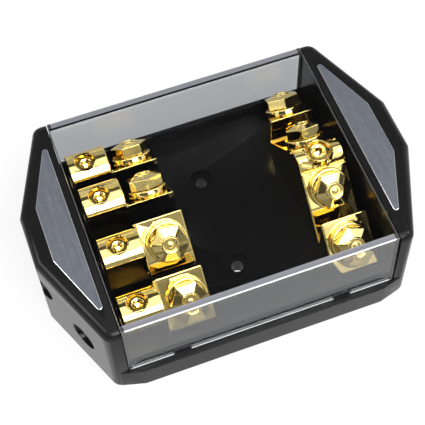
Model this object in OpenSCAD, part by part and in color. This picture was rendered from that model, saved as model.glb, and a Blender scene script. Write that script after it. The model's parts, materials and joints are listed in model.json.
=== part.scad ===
// Fused power distribution block: one input clamp on a common bus bar, four fused
// outputs.  The fuse pads slope away from the middle of the case in two tiers, so
// that four long bolt-down fuses fit side by side under one clear cover.
// X runs from the output end to the input end, Y to the back, Z up.
// The origin is the middle of the underside.  Millimetres.

/* [Case] */
// How far each end tower reaches out from the bay
tower_l = 19.3; // [17:0.1:24]
// How far the end towers stand out past the cover's foot, to each side
tower_lap = 0.17; // [0.05:0.01:1]
// Width of the flat middle of a tower's outer face
tower_face_w = 20.9; // [16:0.1:30]
// Angle between a tower's slanted faces and its flat face
tower_taper = 22.4; // [16:0.1:24]
// Radius of the towers' upright corners
tower_corner_r = 4; // [2:0.5:6]
// Radius of the towers' top edge
tower_edge_r = 2.8; // [1:0.1:3.2]

/* [Plinth] */
// How far the plinth stands out past the cover's foot, to each side
plinth_lap = 2.37; // [1.5:0.01:6]
// Length of the slant where the plinth widens beside each tower
plinth_slant_l = 8; // [4:0.5:12]
// Height of the bay's floor
floor_z = 9; // [7.5:0.1:12]
// Height of the ledge under the cover above the bay's floor
ledge_rise = 0.8; // [0.4:0.1:2]
// Depth of the hollow in the underside
hollow_h = 4; // [3:0.1:4.4]
// Wall left around the hollow
hollow_wall = 3; // [2:0.1:4]
// Room between the outermost terminals and the rim
rim_room = 2.8; // [0.6:0.1:6]
// Thickness of the rim inside the cover's walls
rim_t = 1.6; // [1.2:0.1:2.4]
// Height of the rim above the floor
rim_h = 6; // [4:0.1:8]
// Gap between the rim's top edge and the cover's wall
rim_gap = 0.4; // [0.2:0.05:0.6]

/* [Mounting] */
// Distance between the two mounting holes
mount_pitch = 39; // [30:0.5:46]
// Diameter of a mounting hole
mount_d = 4.6; // [3.5:0.1:5]
// Diameter of the recess for a mounting screw's head
mount_head_d = 9; // [8:0.1:10]
// Depth of the recess for a mounting screw's head
mount_head_h = 1.8; // [1:0.1:2.4]

/* [Cover] */
// Gap between the tallest metal part and the underside of the cover
headroom = 1; // [0.6:0.1:6]
// Thickness of the cover's top
cover_t = 1.8; // [1.6:0.1:3]
// Thickness of the cover's front and back walls
cover_wall = 2.4; // [2:0.1:3]
// How far the cover's top lies below the towers' top
cover_drop = 0.2; // [0.1:0.1:1]
// Lean of the cover's front and back walls, in degrees
cover_lean = 1.5; // [1:0.1:1.8]
// Gap between the cover and each tower
cover_gap = 0.3; // [0.2:0.05:0.6]
// Distance of the latch notches from the middle
latch_x = 30; // [20:0.5:38]
// Width of a latch tongue
latch_w = 5; // [3:0.5:8]
// Height of a latch tongue
latch_h = 1.8; // [1:0.1:2.5]
// Gap around a latch tongue
latch_gap = 0.25; // [0.2:0.05:0.4]
// How far a latch tongue stays behind the cover's outer face
latch_inset = 0.4; // [0.2:0.1:0.8]

/* [Metal trim] */
// Distance from a tower's inner wall to its metal inlay
inlay_margin = 2.2; // [1.8:0.1:3]
// Distance from an inlay's outer edge to its tower's outer face
inlay_side = 6.2; // [5.5:0.1:8]
// Distance from an inlay's tips to its tower's sides
inlay_end = 11.2; // [9:0.1:20]
// Thickness of an inlay
inlay_t = 1.2; // [0.8:0.1:1.6]
// How far an inlay stands above its tower
inlay_proud = 0.3; // [0.1:0.05:0.5]

/* [Fuse tiers] */
// Slope of the fuse pads, in degrees
pad_tilt = 45; // [42:0.5:46]
// Distance from an inner terminal to the outer one beside it
tier_dy = 20; // [19.6:0.1:20.6]
// Height of the inner tier above the outer one
tier_dz = 6.5; // [5.8:0.1:7]
// Distance between the two bolts of one fuse
fuse_span = 61.7; // [60.5:0.1:62.5]

/* [Output terminals] */
// Distance from the output tower's inner wall to the terminals
terminal_gap = 2.8; // [2:0.1:4]
// Length of a terminal's barrel
barrel_l = 15; // [13:0.1:17]
// Width of a barrel
barrel_w = 12.8; // [12:0.1:13.4]
// Height of a barrel at its sides
barrel_side_h = 17.3; // [16.4:0.1:19]
// Rise of a barrel's rounded crown above its sides
crown_rise = 2; // [1:0.1:3]
// Bevel along a barrel's upper edges
barrel_bevel = 1; // [0.4:0.1:1.6]
// Length of a fuse pad
pad_l = 17.4; // [17.2:0.1:18.5]
// Thickness of a fuse pad
pad_t = 3; // [2.6:0.1:3.4]
// Height of the pad's surface at the bolt, above the terminal's underside
pad_z = 10.2; // [10:0.1:10.6]
// Distance of the bolt from the line of the wire bore, towards the middle
pad_y = 0.2; // [0:0.1:0.6]
// Pad surface from the bolt up to its high edge
pad_up = 9.5; // [8.6:0.1:9.8]
// Pad surface from the bolt down to its low edge
pad_down = 10.7; // [9.6:0.1:11.2]
// Diameter of a terminal's wire bore
wire_d = 8.4; // [7:0.1:8.6]
// Height of a wire bore above the terminal's underside
wire_z = 7.5; // [7.2:0.1:7.8]
// Depth of a wire bore
wire_depth = 14; // [12:0.1:14]
// Diameter of the tower holes that the output wires pass through
wire_entry_d = 10.4; // [9:0.1:11]

/* [Bus bar] */
// Length of the bus bar along the fuses
bus_l = 17.6; // [16.4:0.1:18]
// Distance from the bus bar to the input tower's inner wall
bus_gap = 2.4; // [2:0.1:4]
// Width of the rounded ridge along the middle of the bus bar
ridge_w = 4; // [3:0.1:5]
// Rise of the ridge's rounding
ridge_rise = 0.5; // [0.2:0.1:0.8]
// Distance from the ridge down to the groove across each slope
groove_down = 4.3; // [3:0.1:5]
// Width of the groove
groove_w = 0.8; // [0.4:0.1:1.2]
// Depth of the groove
groove_depth = 0.5; // [0.3:0.1:1]
// Wall of the boss around the input clamp screw
boss_wall = 0.9; // [0.8:0.1:2]
// Height of the boss above the edges of the ridge
boss_h = 0.9; // [0.6:0.1:1.2]
// Gap between the boss and the nearest washers
boss_gap = 0.4; // [0.1:0.05:1]
// Diameter of the input wire bore
input_d = 9.4; // [8:0.1:9.6]
// How far the input wire bore runs past its clamp screw
input_past = 5.3; // [4:0.1:6]
// Height of the input wire bore above the floor
input_z = 11.5; // [11:0.1:12]
// Diameter of the tower hole that the input wire passes through
input_entry_d = 12; // [11:0.1:14]
// Length of the cut-off corners, along the bus bar's pads
corner_cut_y = 5.4; // [3:0.1:6]
// Width of the cut-off corners
corner_cut_x = 3.1; // [1:0.1:4]

/* [Fasteners] */
// Diameter of the fuse bolts
bolt_d = 6; // [5:0.1:6.2]
// Length of a fuse bolt under its head
bolt_l = 7; // [6:0.1:7.2]
// Width across the flats of a bolt's head
bolt_af = 12; // [10:0.1:12.4]
// Height of a bolt head's upright sides
bolt_side_h = 3.8; // [2:0.1:4]
// Height of a bolt head with its crown
bolt_head_h = 5.2; // [4.7:0.1:6]
// Diameter of the round end at the top of a bolt's crown
bolt_crown_d = 6.4; // [5:0.1:8]
// Diameter of a washer
washer_d = 15; // [13:0.1:16]
// Thickness of a washer
washer_t = 2.5; // [1:0.1:2.8]
// Gap between a washer and the barrel beside it
washer_gap = 1.8; // [0.2:0.1:2.4]
// Diameter of an output clamp screw
clamp_d = 6.9; // [5:0.1:7.2]
// How far a clamp screw's top lies below its hole's rim
clamp_sink = 2; // [1:0.1:2.5]
// Gap between a loose clamp screw's tip and the wire bore
clamp_tip_gap = 0.1; // [0.05:0.05:0.5]
// Width of the hexagon socket in an output clamp screw
clamp_socket = 3; // [2:0.1:4]
// Diameter of the input clamp screw
input_screw_d = 8; // [7:0.1:9]
// How far the input clamp screw's top lies below its boss
input_sink = 0.9; // [0.5:0.1:1.5]
// Width of the hexagon socket in the input clamp screw
input_socket = 4; // [3:0.1:5]
// Diameter of the screws that hold the metal parts down
fix_d = 3; // [2.5:0.1:3.5]
// How far a holding screw's thread reaches into the metal
fix_bite = 2.2; // [1.6:0.1:2.6]
// Diameter of a holding screw's head
fix_head_d = 5.6; // [5:0.1:6]
// Height of a holding screw's head
fix_head_h = 2.2; // [1.6:0.1:2.6]

/* [Fits] */
// Radial clearance of a screw in its own thread
thread_gap = 0.05; // [0.02:0.01:0.1]
// Radial clearance of a bolt in a washer or a screw in the base
hole_gap = 0.3; // [0.2:0.05:0.5]

/* [Hidden] */
$fn = 64;

eps = 0.01;
past = 1;                       // how far a cut runs past the faces that it opens

plastic = [0.06, 0.06, 0.06];
metal = [0.90, 0.72, 0.30];
trim = [0.50, 0.52, 0.56];
clear_plastic = [0.75, 0.77, 0.80, 0.35];
steel = [0.45, 0.45, 0.47];

// Along X, from the output tower's inner wall to the input tower's.
bolt_step = washer_d / 2 + washer_gap;  // from a barrel's end to its fuse bolt
bay_l = terminal_gap + barrel_l + bolt_step + fuse_span + bus_l / 2 + bus_gap;
bay_x = bay_l / 2;
terminal_x0 = -bay_x + terminal_gap;
pad_x0 = terminal_x0 + barrel_l;
out_bolt_x = pad_x0 + bolt_step;
clamp_x = terminal_x0 + 0.45 * barrel_l;
bus_bolt_x = out_bolt_x + fuse_span;
bus_x0 = bus_bolt_x - bus_l / 2;
bus_x1 = bus_bolt_x + bus_l / 2;

// Rows 1 to 4 run from the back to the front; the outer tier is rows 1 and 4.
ROWS = [1, 2, 3, 4];
boss_d = input_screw_d + 2 * boss_wall;
inner_y = boss_d / 2 + boss_gap + washer_d / 2 * cos(pad_tilt) + pad_y;
function row_side(row) = row < 3 ? 1 : -1;
function row_tier(row) = (row == 1 || row == 4) ? 1 : 0;
function row_y(row) = inner_y + row_tier(row) * tier_dy;
function row_seat(row) = floor_z + (1 - row_tier(row)) * tier_dz;

// The pads' high and low edges, outwards from the wire bore's line and above the seat.
pad_high_y = -pad_y - pad_up * cos(pad_tilt);
pad_high_z = pad_z + pad_up * sin(pad_tilt);
pad_low_y = -pad_y + pad_down * cos(pad_tilt);
pad_low_z = pad_z - pad_down * sin(pad_tilt);
pad_drop = pad_t / cos(pad_tilt);       // pad thickness measured straight down
bolt_reach = bolt_l - washer_t;         // how far a bolt ends below the pad's surface
bolt_room = 0.4;                        // space left past a bolt's end
head_r = bolt_af / 2 / cos(30);         // from a bolt's axis to its head's corners

// The metal parts' tops, above the inner seat.
inner_seat = floor_z + tier_dz;
barrel_h = barrel_side_h + crown_rise;
ridge_z = inner_seat + pad_z + (inner_y - pad_y - ridge_w / 2) * tan(pad_tilt);
boss_top = ridge_z + boss_h;
side_top = (washer_t + bolt_side_h) * cos(pad_tilt) + head_r * sin(pad_tilt);
crown_top = (washer_t + bolt_head_h) * cos(pad_tilt) + bolt_crown_d / 2 * sin(pad_tilt);
bolt_top = inner_seat + pad_z + max(side_top, crown_top);
stack_top = max(inner_seat + barrel_h, boss_top, bolt_top);
input_axis_z = floor_z + input_z;
floor_t = floor_z - hollow_h;
bus_fix_y = row_y(2);
fix_l = floor_t + fix_bite;
fix_room = 0.2;                         // space left past a holding screw's end

// Cover, rim and case, from the metal parts outwards.
cover_top = stack_top + headroom + cover_t;
tower_h = cover_top + cover_drop;
ledge_z = floor_z + ledge_rise;
cover_spread = (cover_top - ledge_z) * tan(cover_lean);
rim_share = (floor_z + rim_h - ledge_z) / (cover_top - cover_t - ledge_z);
rim_y = inner_y + tier_dy + pad_low_y + rim_room;   // the rim's inner face
wall_in_foot = rim_y + rim_t + rim_gap + cover_spread * rim_share;
wall_in_top = wall_in_foot - cover_spread;
cover_foot = wall_in_foot + cover_wall;
tower_w = 2 * (cover_foot + tower_lap);
plinth_w = 2 * (cover_foot + plinth_lap);
inlay_w = tower_l - inlay_margin - inlay_side;
inlay_l = tower_w - 2 * inlay_end;

// ---- helpers ----------------------------------------------------------------

// Puts children drawn for one row (y outwards, z up from the seat) in their place.
module on_row(row) {
    mirror([0, row_side(row) < 0 ? 1 : 0, 0])
        translate([0, row_y(row), row_seat(row)])
            children();
}

// Puts children drawn along +Z on the pad's surface of a row, at x.
module on_pad(row, x) {
    on_row(row)
        translate([x, -pad_y, pad_z])
            rotate([-pad_tilt, 0, 0])
                children();
}

// A profile in the Y-Z plane, extruded along X from x0 to x1.
module along_x(x0, x1) {
    translate([x0, 0, 0])
        rotate([90, 0, 90])
            linear_extrude(height = x1 - x0)
                children();
}

// The plan of a tower on the +X side, pulled in by inset.
module tower_plan(inset) {
    x1 = bay_x + tower_l - inset;
    y_face = tower_face_w / 2 - inset * tan(tower_taper / 2);
    y_side = tower_w / 2 - inset;
    x_side = x1 - (y_side - y_face) * tan(tower_taper);
    r = max(tower_corner_r - inset, 0.8);
    turn = 90 - tower_taper;
    reach = r * tan(turn / 2);
    cx = x_side - reach;
    corner = [for (k = [0:6]) let (a = 90 - turn * k / 6)
        [cx + r * cos(a), y_side - r + r * sin(a)]];
    upper = concat([[bay_x, y_side]], corner, [[x1, y_face]]);
    polygon(concat(upper, [for (k = [len(upper) - 1:-1:0]) [upper[k][0], -upper[k][1]]]));
}

module tower() {
    hull() {
        linear_extrude(height = tower_h - tower_edge_r)
            tower_plan(0);
        for (a = [30, 60, 90])
            linear_extrude(height = tower_h - tower_edge_r * (1 - sin(a)))
                tower_plan(tower_edge_r * (1 - cos(a)));
    }
}

// The plan of an inlay on the +X side.
module inlay_plan() {
    tip_r = 1.2;
    x_in = bay_x + inlay_margin;
    x_out = x_in + inlay_w;
    mid_y = tower_face_w / 2 + tip_r / 2;
    hull()
        for (side = [-1, 1]) {
            translate([x_in + tip_r, side * (inlay_l / 2 - tip_r)])
                circle(r = tip_r, $fn = 24);
            translate([x_out - tip_r, side * mid_y])
                circle(r = tip_r, $fn = 24);
        }
}

// The plan of the plinth between the towers.
module plinth_plan() {
    tuck = 3;                   // how far the plinth reaches into the towers
    x_narrow = bay_x + tuck;
    x_wide = x_narrow - plinth_slant_l;
    y_narrow = tower_w / 2;
    y_wide = plinth_w / 2;
    polygon([[-x_narrow, -y_narrow], [-x_wide, -y_wide], [x_wide, -y_wide], [x_narrow, -y_narrow],
        [x_narrow, y_narrow], [x_wide, y_wide], [-x_wide, y_wide], [-x_narrow, y_narrow]]);
}

// The hole for a holding screw: shank clearance above, head recess below.
module fixing_hole(x, seat) {
    translate([x, 0, 0]) {
        translate([0, 0, -past])
            cylinder(d = fix_d + 2 * hole_gap, h = seat + 2 * past);
        translate([0, 0, -past])
            cylinder(d = fix_head_d + 2 * hole_gap, h = seat - floor_t + past);
    }
}

// A holding screw whose thread ends in the metal above the seat.
module fixing_screw(seat) {
    z_head = seat - floor_t;
    color(steel)
        translate([0, 0, z_head])
            difference() {
                union() {
                    translate([0, 0, -eps])
                        cylinder(d = fix_d, h = fix_l + eps);
                    translate([0, 0, -fix_head_h])
                        cylinder(d = fix_head_d, h = fix_head_h);
                }
                translate([0, 0, -fix_head_h - past])
                    cylinder(d = fix_d * 0.8, h = past + fix_head_h * 0.6, $fn = 6);
            }
}

// ---- moulded parts ------------------------------------------------------------

module base() {
    color(plastic)
        difference() {
            union() {
                tower();
                mirror([1, 0, 0]) tower();
                plinth();
                rims();
                latch_tongues();
                pedestals();
            }
            underside_hollow();
            inlay_recesses();
            mounting_holes();
            for (row = ROWS)
                on_row(row) {
                    translate([-bay_x - tower_l - past, 0, wire_z])
                        rotate([0, 90, 0])
                            cylinder(d = wire_entry_d, h = tower_l + 2 * past);
                    translate([0, 0, -row_seat(row)])
                        fixing_hole(clamp_x, row_seat(row));
                }
            for (row = ROWS)
                on_pad(row, out_bolt_x)
                    translate([0, 0, -bolt_reach - bolt_room])
                        cylinder(d = bolt_d + 2 * hole_gap, h = bolt_reach + bolt_room);
            translate([bay_x - past, 0, input_axis_z])
                rotate([0, 90, 0])
                    cylinder(d = input_entry_d, h = tower_l + 2 * past);
            for (side = [-1, 1])
                translate([0, side * bus_fix_y, 0])
                    fixing_hole(bus_bolt_x, floor_z);
        }
}

// The ledge stays higher than the bay's floor outside the rims.
module plinth() {
    difference() {
        linear_extrude(height = ledge_z)
            plinth_plan();
        translate([-bay_x, -rim_y, floor_z])
            cube([bay_l, 2 * rim_y, ledge_z]);
    }
}

module rims() {
    for (side = [0, 1])
        mirror([0, side, 0])
            translate([-bay_x, rim_y, floor_z - eps])
                cube([bay_l, rim_t, rim_h + eps]);
}

module latch_tongues() {
    y_in = wall_in_foot + latch_gap;
    y_out = cover_foot - latch_inset;
    for (side = [0, 1], x = [-latch_x, latch_x])
        mirror([0, side, 0])
            translate([x - latch_w / 2, y_in, ledge_z - eps])
                cube([latch_w, y_out - y_in, latch_h + eps]);
}

// Under each output terminal: a raised block in the inner tier, and a ramp
// that backs the sloping pad.
module pedestals() {
    for (row = ROWS)
        on_row(row) {
            if (row_tier(row) == 0)
                translate([terminal_x0, -barrel_w / 2, floor_z - row_seat(row) - eps])
                    cube([barrel_l + pad_l, barrel_w, tier_dz + eps]);
            along_x(pad_x0, pad_x0 + pad_l)
                polygon([[pad_high_y, -eps], [pad_high_y, pad_high_z - pad_drop],
                    [pad_high_y + (pad_high_z - pad_drop) / tan(pad_tilt), 0],
                    [pad_high_y + (pad_high_z - pad_drop) / tan(pad_tilt), -eps]]);
        }
}

module underside_hollow() {
    hollow_w = tower_w - 2 * hollow_wall;
    mount_wall = 1;             // wall round a mounting screw's head
    translate([0, 0, -past])
        linear_extrude(height = hollow_h + past)
            difference() {
                square([bay_l - 2 * hollow_wall, hollow_w], center = true);
                for (side = [-1, 1])
                    translate([0, side * mount_pitch / 2])
                        circle(d = mount_head_d + 2 * mount_wall);
            }
}

module inlay_recesses() {
    for (side = [0, 1])
        mirror([side, 0, 0])
            translate([0, 0, tower_h - inlay_t + inlay_proud])
                linear_extrude(height = inlay_t + past)
                    inlay_plan();
}

module mounting_holes() {
    for (side = [-1, 1])
        translate([0, side * mount_pitch / 2, 0]) {
            translate([0, 0, -past])
                cylinder(d = mount_d, h = floor_z + 2 * past);
            translate([0, 0, floor_z - mount_head_h])
                cylinder(d = mount_head_d, h = mount_head_h + past);
        }
}

module cover() {
    x1 = bay_x - cover_gap;
    top = cover_foot - cover_spread;
    inner_z = cover_top - cover_t;
    notch_w = latch_w + 2 * latch_gap;
    notch_h = latch_h + latch_gap;
    color(clear_plastic)
        difference() {
            along_x(-x1, x1)
                polygon([[-cover_foot, ledge_z], [-top, cover_top],
                    [top, cover_top], [cover_foot, ledge_z],
                    [wall_in_foot, ledge_z], [wall_in_top, inner_z],
                    [-wall_in_top, inner_z], [-wall_in_foot, ledge_z]]);
            for (side = [0, 1], x = [-latch_x, latch_x])
                mirror([0, side, 0])
                    translate([x - notch_w / 2, wall_in_foot - past, ledge_z - past])
                        cube([notch_w, cover_wall + 2 * past, notch_h + past]);
        }
}

module inlay(side) {
    color(trim)
        mirror([side < 0 ? 1 : 0, 0, 0])
            translate([0, 0, tower_h - inlay_t + inlay_proud])
                linear_extrude(height = inlay_t)
                    inlay_plan();
}

// ---- metal parts ----------------------------------------------------------------

// One output terminal: a barrel with a rounded crown, and a sloping fuse pad.
module terminal(row) {
    color(metal)
        difference() {
            on_row(row) {
                along_x(terminal_x0, pad_x0)
                    barrel_profile();
                along_x(pad_x0 - eps, pad_x0 + pad_l)
                    pad_profile();
            }
            on_row(row) {
                translate([terminal_x0 - past, 0, wire_z])
                    rotate([0, 90, 0])
                        cylinder(d = wire_d, h = wire_depth + past);
                translate([clamp_x, 0, wire_z])
                    cylinder(d = clamp_d + 2 * thread_gap, h = barrel_h);
                translate([clamp_x, 0, -past])
                    cylinder(d = fix_d + 2 * thread_gap, h = past + fix_bite + fix_room);
            }
            on_pad(row, out_bolt_x)
                translate([0, 0, -pad_t - past])
                    cylinder(d = bolt_d + 2 * thread_gap, h = pad_t + 2 * past);
        }
}

// An arc over a base line of the given half width, from its right end to its left.
function crown_arc(half, rise, steps = 8) =
    let (r = (half * half + rise * rise) / (2 * rise), span = asin(half / r))
    [for (k = [steps:-1:-steps]) let (a = span * k / steps) [r * sin(a), rise - r + r * cos(a)]];

function lifted(points, z) = [for (p = points) [p[0], p[1] + z]];

// The section of a barrel.
module barrel_profile() {
    half = barrel_w / 2;
    bevel_z = barrel_side_h - barrel_bevel;
    polygon(concat([[half, 0], [half, bevel_z]],
        lifted(crown_arc(half - barrel_bevel, crown_rise), barrel_side_h),
        [[-half, bevel_z], [-half, 0]]));
}

// The section of a sloping pad, flat underneath where it reaches the seat.
module pad_profile() {
    polygon([[pad_high_y, pad_high_z], [pad_high_y, pad_high_z - pad_drop],
        [pad_high_y + (pad_high_z - pad_drop) / tan(pad_tilt), 0],
        [pad_low_y, 0], [pad_low_y, pad_low_z]]);
}

// Half of the bus bar's section: the inner slope, the step up and the outer slope.
function bus_half(side) =
    let (outer_y = inner_y + tier_dy, step_y = outer_y + pad_high_y)
    [[side * step_y, ridge_z - (step_y - ridge_w / 2) * tan(pad_tilt)],
        [side * step_y, floor_z + pad_high_z],
        [side * (outer_y + pad_low_y), floor_z + pad_low_z]];

// The groove across one of the bus bar's inner slopes.
module groove() {
    difference() {
        translate([bus_x0 - past, ridge_w / 2, ridge_z])
            rotate([-pad_tilt, 0, 0])
                translate([0, groove_down - groove_w / 2, -groove_depth])
                    cube([bus_l + 2 * past, groove_w, groove_depth + past]);
        translate([bus_bolt_x, 0, input_axis_z])
            cylinder(d = boss_d, h = boss_top - input_axis_z);
    }
}

module bus_bar() {
    front = bus_half(-1);
    back = bus_half(1);
    low_y = inner_y + tier_dy + pad_low_y;
    color(metal)
        difference() {
            union() {
                along_x(bus_x0, bus_x1)
                    polygon(concat([[low_y, floor_z]], [for (k = [2:-1:0]) back[k]],
                        lifted(crown_arc(ridge_w / 2, ridge_rise), ridge_z),
                        front, [[-low_y, floor_z]]));
                translate([bus_bolt_x, 0, input_axis_z])
                    cylinder(d = boss_d, h = boss_top - input_axis_z);
            }
            for (side = [0, 1])
                mirror([0, side, 0])
                    groove();
            for (side = [-1, 1])
                translate([bus_x0, side * low_y, floor_z - past])
                    linear_extrude(height = tower_h)
                        polygon([[-past, -side * corner_cut_y * (1 + past / corner_cut_x)],
                            [corner_cut_x * (1 + past / corner_cut_y), side * past],
                            [-past, side * past]]);
            translate([bus_bolt_x - input_past, 0, input_axis_z])
                rotate([0, 90, 0])
                    cylinder(d = input_d, h = bus_l);
            translate([bus_bolt_x, 0, input_axis_z])
                cylinder(d = input_screw_d + 2 * thread_gap, h = tower_h);
            for (row = ROWS)
                on_pad(row, bus_bolt_x)
                    translate([0, 0, -bolt_reach - bolt_room])
                        cylinder(d = bolt_d + 2 * thread_gap, h = bolt_reach + bolt_room + past);
            for (side = [-1, 1])
                translate([bus_bolt_x, side * bus_fix_y, floor_z - past])
                    cylinder(d = fix_d + 2 * thread_gap, h = past + fix_bite + fix_room);
        }
}

// A fuse bolt: hexagon head with a six-sided crown that ends in a dished round.
// The bolts come to rest at different turns.
LEFT_TURNS = [0, 30, 10, 0];
RIGHT_TURNS = [22, 12, 0, 18];

module fuse_bolt(row, x, turn) {
    dish_d = bolt_crown_d * 0.7;
    dish_h = 0.5;
    end_h = 0.5;
    end_r = bolt_crown_d / 2;
    on_pad(row, x)
        translate([0, 0, washer_t])
            rotate([0, 0, turn])
                color(metal)
                    difference() {
                        union() {
                            translate([0, 0, -bolt_l])
                                cylinder(d = bolt_d, h = bolt_l + eps);
                            cylinder(r = head_r, h = bolt_side_h, $fn = 6);
                            translate([0, 0, bolt_side_h - eps])
                                cylinder(r1 = head_r, r2 = end_r / cos(30),
                                    h = bolt_head_h - end_h - bolt_side_h + eps, $fn = 6);
                            cylinder(r = end_r, h = bolt_head_h);
                        }
                        translate([0, 0, bolt_head_h - dish_h])
                            cylinder(d = dish_d, h = 2 * dish_h);
                    }
}

module washer(row, x) {
    on_pad(row, x)
        color(metal)
            difference() {
                cylinder(d = washer_d, h = washer_t);
                translate([0, 0, -past])
                    cylinder(d = bolt_d + 2 * hole_gap, h = washer_t + 2 * past);
            }
}

// A clamp screw with a hexagon socket and a bevelled tip; its top is at z = 0.
module socket_screw(d, l, socket) {
    tip_h = 0.8;
    color(metal)
        difference() {
            union() {
                translate([0, 0, -l])
                    cylinder(d1 = d - 2 * tip_h, d2 = d, h = tip_h);
                translate([0, 0, tip_h - l])
                    cylinder(d = d, h = l - tip_h);
            }
            translate([0, 0, -socket])
                cylinder(d = socket / cos(30), h = socket + past, $fn = 6);
        }
}

module clamp_screw(row) {
    top = barrel_h - clamp_sink;
    on_row(row)
        translate([clamp_x, 0, top])
            socket_screw(clamp_d, top - wire_z - wire_d / 2 - clamp_tip_gap, clamp_socket);
}

module input_clamp_screw() {
    top = boss_top - input_sink;
    translate([bus_bolt_x, 0, top])
        socket_screw(input_screw_d, top - input_axis_z - input_d / 2 - clamp_tip_gap, input_socket);
}

module terminal_fixing(row) {
    on_row(row)
        translate([clamp_x, 0, -row_seat(row)])
            fixing_screw(row_seat(row));
}

module bus_fixing(side) {
    translate([bus_bolt_x, side * bus_fix_y, 0])
        fixing_screw(floor_z);
}

// ---- nodes --------------------------------------------------------------------

base();
inlay(-1);  // inlay_left
inlay(1);  // inlay_right
bus_bar();
input_clamp_screw();
bus_fixing(1);  // bus_fixing_1
bus_fixing(-1);  // bus_fixing_2
for (row = ROWS) {
    terminal(row);
    terminal_fixing(row);
    clamp_screw(row);
    washer(row, out_bolt_x);
    washer(row, bus_bolt_x);
    fuse_bolt(row, out_bolt_x, LEFT_TURNS[row - 1]);
    fuse_bolt(row, bus_bolt_x, RIGHT_TURNS[row - 1]);
}
cover();
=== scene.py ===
"""A fused power distribution block: moulded case, clear cover, plated terminals.

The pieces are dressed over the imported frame, in its own axes and in metres.
"""

import json
import math
from collections import namedtuple

import bmesh
import bpy
from bpy.props import FloatProperty, FloatVectorProperty, PointerProperty
from mathutils import Euler, Matrix, Vector

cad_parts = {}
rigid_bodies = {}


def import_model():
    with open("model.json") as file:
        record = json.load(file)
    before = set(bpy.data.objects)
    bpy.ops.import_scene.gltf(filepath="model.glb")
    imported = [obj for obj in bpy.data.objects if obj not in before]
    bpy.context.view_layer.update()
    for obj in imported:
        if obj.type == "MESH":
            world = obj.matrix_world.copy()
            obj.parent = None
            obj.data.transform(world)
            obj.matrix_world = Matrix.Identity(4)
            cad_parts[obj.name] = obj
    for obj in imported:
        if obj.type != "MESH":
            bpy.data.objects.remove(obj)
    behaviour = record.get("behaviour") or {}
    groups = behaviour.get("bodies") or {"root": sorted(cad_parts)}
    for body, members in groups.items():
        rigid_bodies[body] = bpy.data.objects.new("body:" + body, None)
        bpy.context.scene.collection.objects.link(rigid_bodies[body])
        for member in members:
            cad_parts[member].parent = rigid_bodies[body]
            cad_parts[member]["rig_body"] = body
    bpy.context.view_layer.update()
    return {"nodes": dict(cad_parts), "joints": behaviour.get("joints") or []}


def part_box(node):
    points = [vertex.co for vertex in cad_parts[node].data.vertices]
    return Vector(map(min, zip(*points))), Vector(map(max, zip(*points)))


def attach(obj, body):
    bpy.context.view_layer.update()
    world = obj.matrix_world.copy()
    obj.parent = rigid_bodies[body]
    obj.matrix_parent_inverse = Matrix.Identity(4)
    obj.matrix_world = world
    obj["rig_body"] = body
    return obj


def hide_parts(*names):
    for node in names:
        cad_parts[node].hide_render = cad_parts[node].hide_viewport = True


bl_info = {
    "name": "Power Distribution Block",
    "version": (1, 0, 0),
    "blender": (4, 5, 0),
    "location": "3D View > Sidebar > Power Block",
    "description": "Dresses a fused power distribution block piece by piece",
    "category": "Object",
}

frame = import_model()
ROWS = (1, 2, 3, 4)
SIDES = ("left", "right")
MM = 0.001
WHITE = (1.0, 1.0, 1.0, 1.0)
CLEAR_IOR = 1.49  # refraction of the cover's plastic
CREASE = 32.0  # degrees between faces that a moulded or machined edge turns by at least
FACET = 24.0  # the same on bolts and screws, whose facets meet at flatter angles
RIM_CREASE = 34.0  # the same on washers, whose rims are round
FLAT = 0.4  # degrees up to which neighbouring faces of the frame are one face
WELD = 0.001 * MM  # distance up to which corners of the frame are one corner


# ---- shader maths ------------------------------------------------------------


class Num:
    """A value on a shader socket; arithmetic on it adds Math nodes."""

    def __init__(self, graph, socket):
        self.graph = graph
        self.socket = socket

    def _join(self, operation, first, second):
        node = self.graph.node("ShaderNodeMath", {0: first, 1: second}, operation=operation)
        return Num(self.graph, node.outputs[0])

    def maths(self, operation, other=0.0):
        """Any other operation of the Math node."""
        return self._join(operation, self, other)

    def __add__(self, other):
        return self._join("ADD", self, other)

    def __radd__(self, other):
        return self._join("ADD", other, self)

    def __sub__(self, other):
        return self._join("SUBTRACT", self, other)

    def __rsub__(self, other):
        return self._join("SUBTRACT", other, self)

    def __mul__(self, other):
        return self._join("MULTIPLY", self, other)

    def __rmul__(self, other):
        return self._join("MULTIPLY", other, self)

    def __pow__(self, other):
        return self._join("POWER", self, other)


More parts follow.
